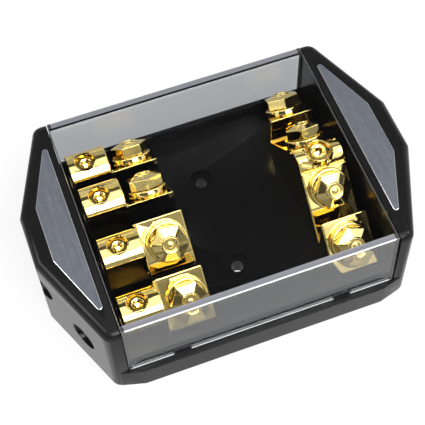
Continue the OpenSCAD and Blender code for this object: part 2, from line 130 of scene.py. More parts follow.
class Graph:
    """Adds nodes to a material's or a world's node tree."""

    def __init__(self, tree):
        self.tree = tree
        tree.nodes.clear()

    def node(self, kind, sockets=None, **settings):
        made = self.tree.nodes.new(kind)
        for key, value in settings.items():
            setattr(made, key, value)
        for key, value in (sockets or {}).items():
            self.feed(made.inputs[key], value)
        return made

    def feed(self, socket, value):
        if isinstance(value, Num):
            value = value.socket
        if isinstance(value, bpy.types.NodeSocket):
            self.tree.links.new(value, socket)
        else:
            socket.default_value = value

    def spots(self, scale, detail=2.0, roughness=0.5, stretch=(1.0, 1.0, 1.0), distortion=0.0):
        """Noise on object coordinates; stretch squeezes the pattern along an axis."""
        place = self.node("ShaderNodeTexCoord").outputs["Object"]
        turned = self.node("ShaderNodeMapping", {"Vector": place, "Scale": stretch})
        noise = self.node(
            "ShaderNodeTexNoise",
            {
                "Vector": turned.outputs[0],
                "Scale": scale,
                "Detail": detail,
                "Roughness": roughness,
                "Distortion": distortion,
            },
        )
        return Num(self, noise.outputs["Fac"])

    def blend(self, share, first, second):
        """A colour between two colours."""
        mix = self.node(
            "ShaderNodeMix", {0: share, 6: first, 7: second}, data_type="RGBA", clamp_factor=True
        )
        return mix.outputs[2]

    def step(self, value, low, high):
        """0 below low and 1 above high, with a soft step between."""
        made = self.node(
            "ShaderNodeMapRange",
            {"Value": value, "From Min": low, "From Max": high},
            interpolation_type="SMOOTHSTEP",
        )
        return Num(self, made.outputs[0])

    def band(self, value, rise, fall):
        """1 between two soft steps, each given by its low and its high end, and 0 outside."""
        return self.step(value, *rise) * (1 - self.step(value, *fall))

    def bump(self, height, strength, distance):
        made = self.node(
            "ShaderNodeBump", {"Height": height, "Strength": strength, "Distance": distance}
        )
        return made.outputs[0]

    def surface(self, **sockets):
        """A principled surface; its sockets' names are given in lower case with underscores."""
        named = {
            key.replace("_", " ").title().replace("Ior", "IOR"): value
            for key, value in sockets.items()
        }
        shader = self.node("ShaderNodeBsdfPrincipled", named)
        self.node("ShaderNodeOutputMaterial", {"Surface": shader.outputs[0]})

    def mixed_surface(self, share, first, second):
        """A surface between two shaders."""
        mix = self.node(
            "ShaderNodeMixShader", {0: share, 1: first.outputs[0], 2: second.outputs[0]}
        )
        self.node("ShaderNodeOutputMaterial", {"Surface": mix.outputs[0]})


def rgba(colour, shade=1.0):
    return (*[channel * shade for channel in colour[:3]], 1.0)


def new_material(name, paint):
    """A material made once, by its paint function."""
    found = bpy.data.materials.get(name)
    if found is None:
        found = bpy.data.materials.new(name)
        found.use_nodes = True
        paint(Graph(found.node_tree))
    return found


# ---- finishes ------------------------------------------------------------------


def black_moulding():
    """Satin black moulded plastic: a fine spark-eroded grain, a faint sheen and specks of dust."""
    looks = bpy.context.scene.block_case
    dust_colour = rgba((0.06, 0.06, 0.06))

    def paint(graph):
        grain = graph.spots(1 / looks.grain, detail=3.0)
        sheen = graph.spots(40.0, detail=4.0, roughness=0.6)
        dust = graph.spots(900.0, detail=2.0)
        colour = graph.blend(sheen, rgba(looks.colour, 0.85), rgba(looks.colour, 1.25))
        colour = graph.blend(dust**6 * 0.5, colour, dust_colour)
        graph.surface(
            base_color=colour,
            roughness=looks.roughness + 0.14 * (sheen - 0.5) + 0.08 * (grain - 0.5),
            normal=graph.bump(grain, 0.12, looks.grain * 0.25),
            specular_ior_level=0.16,
        )

    return new_material("black_moulding", paint)


CoverMarks = namedtuple("CoverMarks", "rim foot notch ends sheet")


def cover_marks(graph, looks):
    """Where the cover's rims, foot, latch notches, ends and top sheet are, from 0 to 1 each."""
    low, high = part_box("cover")
    soft = 0.1 * MM
    notch_side = 3.3 * MM
    notch_top = (low.z + 2.7 * MM, low.z + 3.0 * MM)
    end_face = (high.x - 1.6 * MM, high.x - 1.0 * MM)
    sheet_face = (high.z - 4.0 * MM, high.z - 2.6 * MM)
    split = graph.node(
        "ShaderNodeSeparateXYZ", {0: graph.node("ShaderNodeTexCoord").outputs["Object"]}
    )
    along, across, height = [Num(graph, split.outputs[k]) for k in range(3)]
    along, across = along.maths("ABSOLUTE"), across.maths("ABSOLUTE")
    rim = graph.step(height, high.z - 4 * soft, high.z - 3 * soft)
    rim = rim * graph.step(across, looks.rim - soft, looks.rim + soft)
    start, end = looks.latch - notch_side, looks.latch + notch_side
    notch = graph.band(along, (start - soft, start + soft), (end - soft, end + soft))
    notch = notch * (1 - graph.step(height, *notch_top))
    foot = (1 - graph.step(height, low.z + looks.foot, low.z + 1.15 * looks.foot)) * (1 - notch)
    ends = graph.step(along, *end_face)
    sheet = graph.step(height, *sheet_face)
    return CoverMarks(rim, foot, notch, ends, sheet)


def clear_moulding():
    """Clear plastic, darker in the walls (smoky tint and painted shade), with a painted grey band
    over the walls, a painted white highlight along the foot and painted shade in the notches.
    """
    looks = bpy.context.scene.block_cover
    # shares of painted light over the clear plastic: grey band over the walls, white highlight
    # along the foot, shade in the notches; a faint haze in the walls; the painted highlight fades
    # at the ends
    rim_share, foot_share, wall_haze, end_fade = 0.75, 0.97, 0.04, 0.8
    # painted shade in the latch notches
    notch_dark = rgba((0.01, 0.01, 0.01))

    def paint(graph):
        marks = cover_marks(graph, looks)
        waves = graph.spots(55.0, detail=1.0)
        scuffs = graph.spots(260.0, detail=3.0, stretch=(0.06, 1.0, 1.0), distortion=0.4)
        flow = graph.spots(300.0, detail=2.0)
        # the walls are darker than the top: partly the plastic's smoky tint, partly painted shade
        walls = graph.blend(waves, rgba(looks.wall_tint_and_shade), rgba(looks.wall_tint_and_shade, 0.96))
        clear = graph.node(
            "ShaderNodeBsdfPrincipled",
            {
                "Base Color": graph.blend(marks.sheet, walls, rgba(looks.clear)),
                "Roughness": 0.004 + 0.03 * scuffs**8,
                "Transmission Weight": 1.0,
                "IOR": CLEAR_IOR,
                "Normal": graph.bump(waves, 0.02, 0.4 * MM),
            },
        )
        # painted colours: white highlight along the foot, grey band over the walls elsewhere (also
        # the colour of the walls' haze)
        glow = graph.blend(marks.foot, rgba(looks.rim_light), rgba(looks.edge_light))
        painted_light_and_haze = graph.node(
            "ShaderNodeBsdfPrincipled",
            {
                "Base Color": graph.blend(marks.notch, glow, notch_dark),
                "Roughness": 0.14 + 0.1 * flow,
                "IOR": CLEAR_IOR,
            },
        )
        share = rim_share * marks.rim + foot_share * marks.foot + foot_share * marks.notch
        share = share + wall_haze * (1 - marks.sheet)
        fading = 1 - end_fade * marks.ends * (1 - marks.notch)
        graph.mixed_surface(share * fading, clear, painted_light_and_haze)

    return new_material("clear_moulding", paint)


def clear_edge():
    """The cover's rounded edges: a painted white highlight lengthways, painted shade at the ends
    and latches.
    """
    looks = bpy.context.scene.block_cover

    def paint(graph):
        marks = cover_marks(graph, looks)
        flow = graph.spots(300.0, detail=2.0)
        # painted highlight: the long edges painted nearly white
        bright = graph.blend(flow, rgba(looks.edge_light), rgba(looks.edge_light, 0.9))
        graph.surface(
            # painted shade on the edges at the ends and at the latch notches
            base_color=graph.blend(marks.ends + marks.notch, bright, rgba(looks.edge_dark)),
            roughness=0.2 + 0.1 * flow,
            transmission_weight=0.25,
            ior=CLEAR_IOR,
        )

    return new_material("clear_edge", paint)


def gold_plating():
    """Polished gold plating over machined brass."""
    looks = bpy.context.scene.block_metal

    def paint(graph):
        cloud = graph.spots(120.0, detail=4.0, roughness=0.6)
        lines = graph.spots(900.0, detail=2.0, stretch=(0.05, 1.0, 1.0))
        pits = graph.spots(1800.0, detail=2.0)
        colour = graph.blend(cloud, rgba(looks.gold), rgba(looks.gold_deep))
        graph.surface(
            base_color=colour,
            metallic=1.0,
            roughness=looks.gold_roughness + 0.05 * (cloud - 0.4) + 0.06 * lines**3,
            normal=graph.bump(lines + 0.6 * pits, 0.05, 0.06 * MM),
        )

    return new_material("gold_plating", paint)


def trim_face():
    """Satin aluminium of the inlays, brushed lengthways with a fine mottle."""
    looks = bpy.context.scene.block_metal

    def paint(graph):
        brush = graph.spots(1500.0, detail=3.0, stretch=(1.0, 0.03, 1.0))
        mottle = graph.spots(420.0, detail=4.0, roughness=0.7)
        share = 0.55 * brush + 0.45 * mottle
        graph.surface(
            base_color=graph.blend(share, rgba(looks.trim, 0.55), rgba(looks.trim, 1.55)),
            metallic=0.35,
            roughness=0.38 + 0.22 * share,
            specular_ior_level=0.3,
            normal=graph.bump(brush + 0.5 * mottle, 0.16, 0.08 * MM),
        )

    return new_material("trim_face", paint)


def trim_edge():
    """The inlays' bright diamond-cut edge."""
    looks = bpy.context.scene.block_metal

    def paint(graph):
        cut = graph.spots(1200.0, detail=1.0)
        graph.surface(
            base_color=graph.blend(cut, rgba(looks.trim_bright), rgba(looks.trim_bright, 0.9)),
            metallic=0.9,
            roughness=0.16 + 0.08 * cut,
        )

    return new_material("trim_edge", paint)


def plated_steel():
    """Zinc-plated steel of the holding screws."""
    dark, light = rgba((0.36, 0.36, 0.38)), rgba((0.55, 0.55, 0.52))

    def paint(graph):
        cloud = graph.spots(600.0, detail=3.0)
        graph.surface(
            base_color=graph.blend(cloud, dark, light),
            metallic=1.0,
            roughness=0.28 + 0.15 * cloud,
        )

    return new_material("plated_steel", paint)


def pale_floor():
    """Nearly white to the camera, with soft shadows, and dull in the light it sends up."""
    shine = 0.82

    def paint(graph):
        speck = graph.spots(30.0, detail=2.0)
        shade = graph.blend(speck, rgba((0.86, 0.86, 0.86)), rgba((0.88, 0.88, 0.88)))
        matte = graph.node("ShaderNodeBsdfDiffuse", {"Color": shade})
        bright = graph.node("ShaderNodeEmission", {"Color": WHITE, "Strength": 1.0})
        path = graph.node("ShaderNodeLightPath")
        camera, gloss, through = [
            Num(graph, path.outputs[f"Is {kind} Ray"])
            for kind in ("Camera", "Glossy", "Transmission")
        ]
        seen = (camera + gloss + through).maths("MINIMUM", 1.0)
        graph.mixed_surface(seen * shine, matte, bright)

    return new_material("pale_floor", paint)


# ---- mesh helpers ----------------------------------------------------------------


def link_mesh(name, mesh, materials):
    made = bpy.data.objects.new(name, mesh)
    bpy.context.scene.collection.objects.link(made)
    made.data.materials.clear()
    for material in materials:
        made.data.materials.append(material)
    return made


def smooth(mesh, angle=CREASE):
    """Smooth faces, with sharp edges where the surface turns by more than the angle."""
    mesh.polygons.foreach_set("use_smooth", [True] * len(mesh.polygons))
    mesh.set_sharp_from_angle(angle=math.radians(angle))


def round_edges(made, width, segments=2, angle=CREASE, edge_slot=-1, clamped=False):
    bevel = made.modifiers.new("rounded edges", "BEVEL")
    bevel.width = width
    bevel.segments = segments
    bevel.limit_method = "ANGLE"
    bevel.angle_limit = math.radians(angle)
    bevel.harden_normals = True
    bevel.use_clamp_overlap = clamped
    bevel.miter_outer = "MITER_ARC"
    bevel.material = edge_slot


def dressed_copy(node, name, materials, width, segments=2, edge_slot=-1, clamped=False):
    """A copy of a CAD node with merged faces and rounded edges, which stands for the node."""
    bm = bmesh.new()
    bm.from_mesh(frame["nodes"][node].data)
    bmesh.ops.remove_doubles(bm, verts=bm.verts, dist=WELD)
    bmesh.ops.dissolve_limit(
        bm,
        angle_limit=math.radians(FLAT),
        verts=bm.verts,
        edges=bm.edges,
        use_dissolve_boundaries=False,
    )
    mesh = bpy.data.meshes.new(name)
    bm.to_mesh(mesh)
    bm.free()
    smooth(mesh)
    made = link_mesh(name, mesh, materials)
    for face in mesh.polygons:
        face.material_index = 0
    round_edges(made, width, segments, edge_slot=edge_slot, clamped=clamped)
    return made


def stand_in(made, node):
    """The piece stands for a CAD node and rides on its body."""
    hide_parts(node)
    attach(made, frame["nodes"][node]["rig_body"])
    return made


def lofted(name, rings, count=48, hollow=False):
    """A turned shape: each ring is a function from an angle to (radius, height).

    A hollow shape's last ring joins its first; any other is closed by a face at each end.
    """
    bm = bmesh.new()
    loops = []
    for ring in rings:
        loop = []
        for k in range(count):
            angle = 2 * math.pi * k / count
            radius, height = ring(angle)
            corner = (radius * math.cos(angle), radius * math.sin(angle), height)
            loop.append(bm.verts.new(corner))
        loops.append(loop)
    joined = zip(loops, loops[1:] + loops[:1]) if hollow else zip(loops, loops[1:])
    for low, high in joined:
        for k in range(count):
            after = (k + 1) % count
            bm.faces.new((low[k], low[after], high[after], high[k]))
    if not hollow:
        bm.faces.new(loops[0][::-1])
        bm.faces.new(loops[-1])
    bmesh.ops.recalc_face_normals(bm, faces=bm.faces)
    mesh = bpy.data.meshes.new(name)
    bm.to_mesh(mesh)
    bm.free()
    return mesh


def circle(radius, height):
    return lambda angle: (radius, height)


def hexagon(flats, height):
    """A hexagon with a corner at angle 0, as a ring."""
    half = math.pi / 6

    def ring(angle):
        off = (angle + half) % (2 * half) - half
        return flats / 2 / math.cos(half - abs(off)), height

    return ring


def threads(radius, depth, low, high, pitch):
    """Rings of a screw thread, from low to high."""
    rings = []
    count = max(1, int((high - low) / pitch))
    step = (high - low) / count
    for k in range(count):
        base = low + k * step
        rings.append(circle(radius - depth, base + 0.1 * step))
        rings.append(circle(radius, base + 0.5 * step))
        rings.append(circle(radius, base + 0.65 * step))
    rings.append(circle(radius - depth, high))
    return rings


# ---- geometry node trees -----------------------------------------------------------


class Tree:
    """A geometry node tree with named inputs, which ends in Realize Instances and Set Material."""

    def __init__(self, name, inputs):
        self.tree = bpy.data.node_groups.new(name, "GeometryNodeTree")
        face = self.tree.interface
        face.new_socket("Geometry", in_out="OUTPUT", socket_type="NodeSocketGeometry")
        for label, kind in inputs:
            face.new_socket(label, in_out="INPUT", socket_type=kind)
        self.source = self.tree.nodes.new("NodeGroupInput")

    def ask(self, label):
        return self.source.outputs[label]

    def node(self, kind, sockets=None, **settings):
        made = self.tree.nodes.new(kind)
        for key, value in settings.items():
            setattr(made, key, value)
        for key, value in (sockets or {}).items():
            if isinstance(value, bpy.types.NodeSocket):
                self.tree.links.new(value, made.inputs[key])
            else:
                made.inputs[key].default_value = value
        return made

    def close(self, geometry):
        real = self.node("GeometryNodeRealizeInstances", {0: geometry}).outputs[0]
        dressed = self.node(
            "GeometryNodeSetMaterial", {"Geometry": real, "Material": self.ask("Finish")}
        )
        end = self.tree.nodes.new("NodeGroupOutput")
        self.tree.links.new(dressed.outputs[0], end.inputs[0])
        return self.tree

    @staticmethod
    def bake(tree, name, values):
        """Runs the tree with these inputs and returns the plain mesh."""
        holder = bpy.data.objects.new(name, bpy.data.meshes.new(name + "_empty"))
        bpy.context.scene.collection.objects.link(holder)
        modifier = holder.modifiers.new("made", "NODES")
        modifier.node_group = tree
        sockets = {item.name: item.identifier for item in tree.interface.items_tree}
        for label, value in values.items():
            modifier[sockets[label]] = value
        graph = bpy.context.evaluated_depsgraph_get()
        mesh = bpy.data.meshes.new_from_object(holder.evaluated_get(graph))
        mesh.name = name
        holder.modifiers.clear()
        bpy.data.objects.remove(holder)
        return mesh


def fitting_tree():
    """Sets a pattern piece on a place, turned to its pad."""
    found = bpy.data.node_groups.get("set_fitting")
    if found:
        return found
    inputs = (
        ("Pattern", "NodeSocketObject"),
        ("Place", "NodeSocketVector"),
        ("Turn", "NodeSocketVector"),
        ("Finish", "NodeSocketMaterial"),
    )
    tree = Tree("set_fitting", inputs)
    pattern = tree.node(
        "GeometryNodeObjectInfo",
        {"Object": tree.ask("Pattern"), "As Instance": True},
        transform_space="ORIGINAL",
    )
    placed = tree.node(
        "GeometryNodeTransform",
        {
            "Geometry": pattern.outputs["Geometry"],
            "Translation": tree.ask("Place"),
            "Rotation": tree.ask("Turn"),
        },
    )
    return tree.close(placed.outputs[0])


def set_fitting(name, pattern, place, turn, angle):
    """A piece of its own, made by setting a pattern piece on a place."""
    values = {"Pattern": pattern, "Place": place, "Turn": turn, "Finish": gold_plating()}
    made = link_mesh(name, Tree.bake(fitting_tree(), name, values), [gold_plating()])
    smooth(made.data, angle)
    return made


def joint_axis(body):
    """The direction in which a moving body slides out."""
    for joint in frame["joints"]:
        if joint["child"] == body:
            return Vector(joint["axis"]).normalized()
    raise RuntimeError(f"no joint moves {body}")


def turn_to(axis, roll=0.0):
    """The turn that rolls a piece about +Z and then brings +Z to an axis in the Y-Z plane."""
    tilt = Matrix.Rotation(-math.atan2(axis.y, axis.z), 3, "X")
    return tuple((tilt @ Matrix.Rotation(roll, 3, "Z")).to_euler("XYZ"))


def middle(node):
    low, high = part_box(node)
    return (low + high) / 2


# ---- settings -------------------------------------------------------------------


class BlockCaseSettings(bpy.types.PropertyGroup):
    """The moulded case."""

    colour: FloatVectorProperty(
        name="Colour",
        description="Colour of the moulding",
        subtype="COLOR",
        default=(0.009, 0.009, 0.0095),
    )
    roughness: FloatProperty(
        name="Roughness", description="How dull the moulding is", default=0.2, min=0.05, max=1.0
    )
    grain: FloatProperty(
        name="Grain", description="Size of the surface grain", default=0.35 * MM, unit="LENGTH"
    )
    edge: FloatProperty(
        name="Edge Rounding",
        description="Rounding of the case's edges",
        default=0.45 * MM,
        unit="LENGTH",
    )


class BlockCoverSettings(bpy.types.PropertyGroup):
    """The clear cover."""

    # Partly the plastic's smoky tint and partly painted shade: the walls are painted darker than
    # the top.
    wall_tint_and_shade: FloatVectorProperty(
        name="Tint",
        description="Colour of the cover's walls",
        subtype="COLOR",
        default=(0.62, 0.63, 0.65),
    )
    clear: FloatVectorProperty(
        name="Clear",
        description="Colour of the cover's top",
        subtype="COLOR",
        default=(0.86, 0.87, 0.88),
    )
    edge: FloatProperty(
        name="Edge Rounding",
        description="Rounding of the cover's edges",
        default=0.4 * MM,
        unit="LENGTH",
    )
    # A painted highlight: the white of the long edges and of the foot.
    edge_light: FloatVectorProperty(
        name="Light Edge",
        description="Colour of the long edges",
        subtype="COLOR",
        default=(0.95, 0.95, 0.96),
    )
    # Painted shade on the edges at the ends and at the latches.
    edge_dark: FloatVectorProperty(
        name="Dark Edge",
        description="Colour of the ends' edges",
        subtype="COLOR",
        default=(0.12, 0.12, 0.125),
    )
    # Painted shade: the grey band on the top over the walls, also the colour of the walls' faint
    # haze.
    rim_light: FloatVectorProperty(
        name="Rim Colour",
        description="Colour of the top over the walls",
        subtype="COLOR",
        default=(0.24, 0.24, 0.27),
    )
    rim: FloatProperty(
        name="Rim",
        description="Distance of the walls from the middle",
        default=42.3 * MM,
        unit="LENGTH",
    )
    # Height of the painted white highlight along the foot.
    foot: FloatProperty(
        name="Foot",
        description="Height of the bright foot of the walls",
        default=1.1 * MM,
        unit="LENGTH",
    )
    latch: FloatProperty(
        name="Latch",
        description="Distance of each latch from the middle",
        default=30.0 * MM,
        unit="LENGTH",
    )


class BlockMetalSettings(bpy.types.PropertyGroup):
    """The plated parts and the trim."""

    gold: FloatVectorProperty(
        name="Gold",
        description="Light tone of the plating",
        subtype="COLOR",
        default=(0.98, 0.8, 0.34),
    )
    gold_deep: FloatVectorProperty(
        name="Deep Gold",
        description="Deep tone of the plating",
        subtype="COLOR",
        default=(0.9, 0.68, 0.2),
    )
    gold_roughness: FloatProperty(
        name="Gold Roughness",
        description="How dull the plating is",
        default=0.03,
        min=0.0,
        max=1.0,
    )
    gold_edge: FloatProperty(
        name="Edge Rounding",
        description="Rounding of the terminals' edges",
        default=0.6 * MM,
        unit="LENGTH",
    )
    trim: FloatVectorProperty(
        name="Trim",
        description="Colour of the inlays",
        subtype="COLOR",
        default=(0.128, 0.137, 0.16),
    )
    trim_bright: FloatVectorProperty(
        name="Trim Edge",
        description="Colour of the inlays' edge",
        subtype="COLOR",
        default=(0.86, 0.88, 0.9),
    )
    trim_edge: FloatProperty(
        name="Trim Edge Width",
        description="Width of the inlays' bright edge",
        default=0.5 * MM,
        unit="LENGTH",
    )


class BlockFastenerSettings(bpy.types.PropertyGroup):
    """Bolts, washers and screws."""

    flats: FloatProperty(
        name="Head Flats",
        description="Width of a bolt head across its flats",
        default=12.0 * MM,
        unit="LENGTH",
    )
    head_side: FloatProperty(
        name="Head Sides",
        description="Height of a bolt head's flat sides",
        default=3.8 * MM,
        unit="LENGTH",
    )
    head: FloatProperty(
        name="Head Height", description="Height of a bolt's head", default=5.2 * MM, unit="LENGTH"
    )
    crown: FloatProperty(
        name="Crown",
        description="Diameter of the ring on a bolt head",
        default=6.4 * MM,
        unit="LENGTH",
    )
    bolt_length: FloatProperty(
        name="Bolt Length",
        description="Length of a bolt under its head",
        default=7.0 * MM,
        unit="LENGTH",
    )
    bolt: FloatProperty(
        name="Bolt", description="Diameter of a bolt's shank", default=6.0 * MM, unit="LENGTH"
    )
    pitch: FloatProperty(
        name="Thread Pitch",
        description="Distance between the threads",
        default=0.9 * MM,
        unit="LENGTH",
    )
    left_turns: FloatVectorProperty(
        name="Left Turns",
        description="Turns at which the four left bolts come to rest",
        size=4,
        unit="ROTATION",
        default=[math.radians(turn) for turn in (0, 30, 10, 0)],
    )
    right_turns: FloatVectorProperty(
        name="Right Turns",
        description="Turns at which the four right bolts come to rest",
        size=4,
        unit="ROTATION",
        default=[math.radians(turn) for turn in (22, 12, 0, 18)],
    )
    socket: FloatProperty(
        name="Socket",
        description="Width of a clamp screw's socket",
        default=3.0 * MM,
        unit="LENGTH",
    )
    input_socket: FloatProperty(
        name="Input Socket",
        description="Width of the input screw's socket",
        default=4.0 * MM,
        unit="LENGTH",
    )
    washer: FloatProperty(
        name="Washer", description="Diameter of a washer", default=15.0 * MM, unit="LENGTH"
    )
    washer_thickness: FloatProperty(
        name="Washer Thickness",
        description="Thickness of a washer",
        default=2.5 * MM,
        unit="LENGTH",
    )
    washer_hole: FloatProperty(
        name="Washer Hole",
        description="Diameter of a washer's hole",
        default=6.6 * MM,
        unit="LENGTH",
    )
    edge: FloatProperty(
        name="Edge Rounding",
        description="Rounding of a bolt's edges",
        default=0.16 * MM,
        unit="LENGTH",
    )
    fixing_edge: FloatProperty(
        name="Holding Screw Edge",
        description="Rounding of a holding screw's edges",
        default=0.2 * MM,
        unit="LENGTH",
    )


class BlockStageSettings(bpy.types.PropertyGroup):
    """Camera, lamps and floor."""

    eye: FloatVectorProperty(
        name="Eye",
        description="Place of the camera",
        subtype="XYZ",
        unit="LENGTH",
        default=(-0.06684, -0.20454, 0.36592),
    )
    turn: FloatVectorProperty(
        name="Turn",
        description="Turn of the camera",
        subtype="EULER",
        default=(math.radians(31.551), math.radians(1.590), math.radians(-20.120)),
    )
    lens: FloatProperty(name="Lens", description="Focal length in millimetres", default=94.57)
    glow: FloatProperty(name="Glow", description="Light of the surroundings", default=0.55)
    key: FloatProperty(
        name="Key Lamp", description="Power of the main lamp", default=5.0, unit="POWER"
    )
    fill: FloatProperty(
        name="Fill Lamp", description="Power of the second lamp", default=2.0, unit="POWER"
    )
    bare: FloatProperty(
        name="Bare Share",
        description="Share of the polished view's light for pieces that no clear plastic covers",
        default=0.35,
    )
    ceiling: FloatProperty(
        name="Ceiling",
        description="Brightness of the dark ceiling as polished metal shows it",
        default=0.1,
    )
    softbox: FloatProperty(
        name="Softbox",
        description="Brightness of the softbox overhead, in polished metal",
        default=2.4,
    )
    rear_card: FloatProperty(
        name="Rear Card",
        description="Brightness of the card behind, in polished metal",
        default=0.66,
    )
    front_card: FloatProperty(
        name="Front Card",
        description="Brightness of the card in front, in polished metal",
        default=0.42,
    )
    front_box: FloatProperty(
        name="Front Softbox",
        description="Brightness of the softbox in front, in polished metal",
        default=2.0,
    )
    side_card: FloatProperty(
        name="Side Cards",
        description="Brightness of the side cards, in polished metal",
        default=1.6,
    )
    floor: FloatProperty(
        name="Floor", description="Half the width of the floor", default=3.0, unit="LENGTH"
    )


# ---- operators -------------------------------------------------------------------


class BLOCK_OT_case(bpy.types.Operator):
    """Mould the case with its end towers"""

    bl_idname = "block.case"
    bl_label = "Case"

    def execute(self, context):
        looks = context.scene.block_case
        made = dressed_copy(
            "base", "case_moulding", [black_moulding()], looks.edge, segments=3, clamped=True
        )
        stand_in(made, "base")
        return {"FINISHED"}


class BLOCK_OT_cover(bpy.types.Operator):
    """Mould the clear cover"""

    bl_idname = "block.cover"
    bl_label = "Cover"

    def execute(self, context):
        looks = context.scene.block_cover
        finishes = [clear_moulding(), clear_edge()]
        made = dressed_copy(
            "cover", "cover_moulding", finishes, looks.edge, segments=3, edge_slot=1
        )
        stand_in(made, "cover")
        return {"FINISHED"}


class BLOCK_OT_trims(bpy.types.Operator):
    """Set the metal inlays in the towers"""

    bl_idname = "block.trims"
    bl_label = "Inlays"

    def execute(self, context):
        looks = context.scene.block_metal
        for side in SIDES:
            node = f"inlay_{side}"
            finishes = [trim_face(), trim_edge()]
            made = dressed_copy(
                node, f"trim_{side}", finishes, looks.trim_edge, segments=1, edge_slot=1
            )
            stand_in(made, node)
        return {"FINISHED"}


class BLOCK_OT_terminals(bpy.types.Operator):
    """Machine the output terminals"""

    bl_idname = "block.terminals"
    bl_label = "Output Terminals"

    def execute(self, context):
        looks = context.scene.block_metal
        for row in ROWS:
            node = f"terminal_{row}"
            made = dressed_copy(
                node, f"output_terminal_{row}", [gold_plating()], looks.gold_edge, segments=3
            )
            stand_in(made, node)
        return {"FINISHED"}


class BLOCK_OT_bus_bar(bpy.types.Operator):
    """Machine the bus bar"""

    bl_idname = "block.bus_bar"
    bl_label = "Bus Bar"

    def execute(self, context):
        looks = context.scene.block_metal
        made = dressed_copy(
            "bus_bar", "input_bus_bar", [gold_plating()], looks.gold_edge, segments=3
        )
        stand_in(made, "bus_bar")
        return {"FINISHED"}


def bolt_mesh(sizes):
    """A fuse bolt seated at height 0: threads, hexagon, faceted crown, dished ring."""
    shank, ring = sizes.bolt / 2, sizes.crown / 2
    top, side = sizes.head, sizes.head_side
    rise = top - side
    tip, groove = -sizes.bolt_length, 0.35 * MM
    chamfer, dish = 0.25 * MM, 0.5 * MM
    rings = [circle(shank - 2 * groove, tip)]
    rings += threads(shank, groove, tip + 0.5 * MM, -0.6 * MM, sizes.pitch)
    rings += [
        circle(shank - groove, 0.0),
        hexagon(sizes.flats - 2 * chamfer, 0.0),
        hexagon(sizes.flats, chamfer),
        hexagon(sizes.flats, side),
        hexagon(sizes.crown, side + 0.62 * rise),
        circle(ring - 0.02 * MM, side + 0.72 * rise),
        circle(ring - 0.12 * MM, top - 0.12 * rise),
        circle(ring - 0.35 * MM, top),
        circle(0.72 * ring, top - 0.08 * rise),
        circle(0.66 * ring, top - dish),
        circle(0.36 * ring, top - dish),
        circle(0.28 * ring, top - 0.28 * MM),
        circle(0.12 * ring, top - 0.2 * MM),
    ]
    mesh = lofted("fuse_bolt_pattern", rings)
    smooth(mesh, FACET)
    return mesh


class BLOCK_OT_bolts(bpy.types.Operator):
    """Set the fuse bolts on their pads"""

    bl_idname = "block.bolts"
    bl_label = "Fuse Bolts"

    def execute(self, context):
        sizes = context.scene.block_fasteners
        pattern = link_mesh("fuse_bolt_pattern", bolt_mesh(sizes), [gold_plating()])
        turns = {"left": sizes.left_turns, "right": sizes.right_turns}
        for side in SIDES:
            for row in ROWS:
                node = f"bolt_{side}_{row}"
                axis = joint_axis(node)
                roll = math.copysign(turns[side][row - 1], axis.y)
                seat = middle(f"washer_{side}_{row}") + axis * sizes.washer_thickness / 2
                name, turn = f"fuse_bolt_{side}_{row}", turn_to(axis, roll)
                made = set_fitting(name, pattern, seat, turn, FACET)
                round_edges(made, sizes.edge, angle=FACET)
                stand_in(made, node)
        bpy.data.objects.remove(pattern)
        return {"FINISHED"}


def washer_mesh(sizes):
    """A washer whose middle is at height 0: rounded rim, a groove turned inside it, and a hole."""
    outer, hole, half = sizes.washer / 2, sizes.washer_hole / 2, sizes.washer_thickness / 2
    soft, depth = 0.45 * MM, 0.34 * MM
    section = [(hole, -half), (outer - soft, -half), (outer, soft - half), (outer, half - soft)]
    for angle in (math.radians(30), math.radians(60), math.radians(90)):
        across, up = soft * (1 - math.cos(angle)), soft * (1 - math.sin(angle))
        section.append((outer - across, half - up))
    section += [
        (outer - 0.75 * MM, half),
        (outer - 0.95 * MM, half - 0.3 * MM),
        (outer - 1.2 * MM, half - depth),
        (hole + 0.2 * MM, half - depth),
        (hole, half - 0.5 * MM),
    ]
    rings = [circle(*point) for point in section]
    mesh = lofted("washer_pattern", rings, count=64, hollow=True)
    smooth(mesh, RIM_CREASE)
    return mesh


class BLOCK_OT_washers(bpy.types.Operator):
    """Turn the washers under the bolts"""

    bl_idname = "block.washers"
    bl_label = "Washers"

    def execute(self, context):
        mesh = washer_mesh(context.scene.block_fasteners)
        pattern = link_mesh("washer_pattern", mesh, [gold_plating()])
        for side in SIDES:
            for row in ROWS:
                node = f"washer_{side}_{row}"
                name, turn = f"flat_washer_{side}_{row}", turn_to(joint_axis(f"bolt_{side}_{row}"))
                made = set_fitting(name, pattern, middle(node), turn, RIM_CREASE)
                stand_in(made, node)
        bpy.data.objects.remove(pattern)
        return {"FINISHED"}


def screw_mesh(radius, length, socket, pitch):
    """A headless clamp screw whose top is at height 0, with a hexagon socket."""
    chamfer, groove, dimple = 0.8 * MM, 0.3 * MM, 0.5 * MM
    rings = [circle(radius - chamfer, -length)]
    rings += threads(radius, groove, chamfer - length, -chamfer, pitch)
    rings += [
        circle(radius, -dimple),
        circle(radius, -0.9 * dimple),
        circle(radius - dimple, 0.0),
        circle(0.74 * socket, 0.0),
        circle(0.68 * socket, -0.08 * MM),
        hexagon(socket, -dimple),
        hexagon(socket, -0.8 * socket),
        circle(0.2 * socket, -socket),
    ]
    mesh = lofted("screw_pattern", rings)
    smooth(mesh, FACET)
    return mesh


